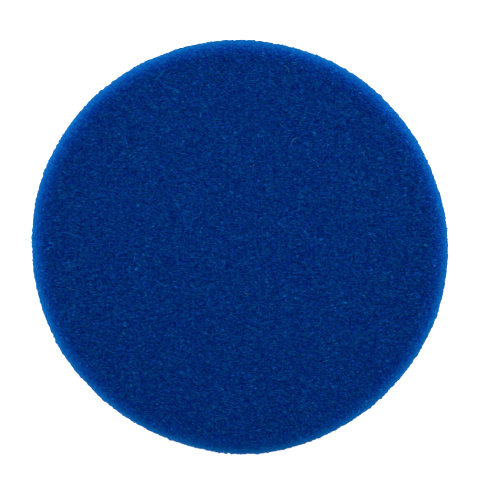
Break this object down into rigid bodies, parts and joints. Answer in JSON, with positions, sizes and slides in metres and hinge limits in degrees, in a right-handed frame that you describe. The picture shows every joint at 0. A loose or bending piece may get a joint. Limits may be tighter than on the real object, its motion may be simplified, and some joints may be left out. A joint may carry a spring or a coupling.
{
  "type": "foam polishing pad",
  "caption": "Round foam polishing pad with a flat working face, a rounded working edge, a tapered side and a loop-fabric back that grips a polisher's hook-faced backing plate.",
  "frame": {"origin": "centre of the loop face, the pad's underside", "axes": "+Z along the pad's axis, out of the working face; the pad is round, so X and Y are free"},
  "size_m": [0.15, 0.15, 0.025],
  "materials": {
    "foam": "matte",
    "adhesive": "satin",
    "cloth": "matte",
    "loops": "matte"
  },
  "bodies": {
    "root": {"foam_disc": "foam", "adhesive_film": "adhesive", "backing_cloth": "cloth", "loop_pile": "loops"}
  },
  "joints": []
}
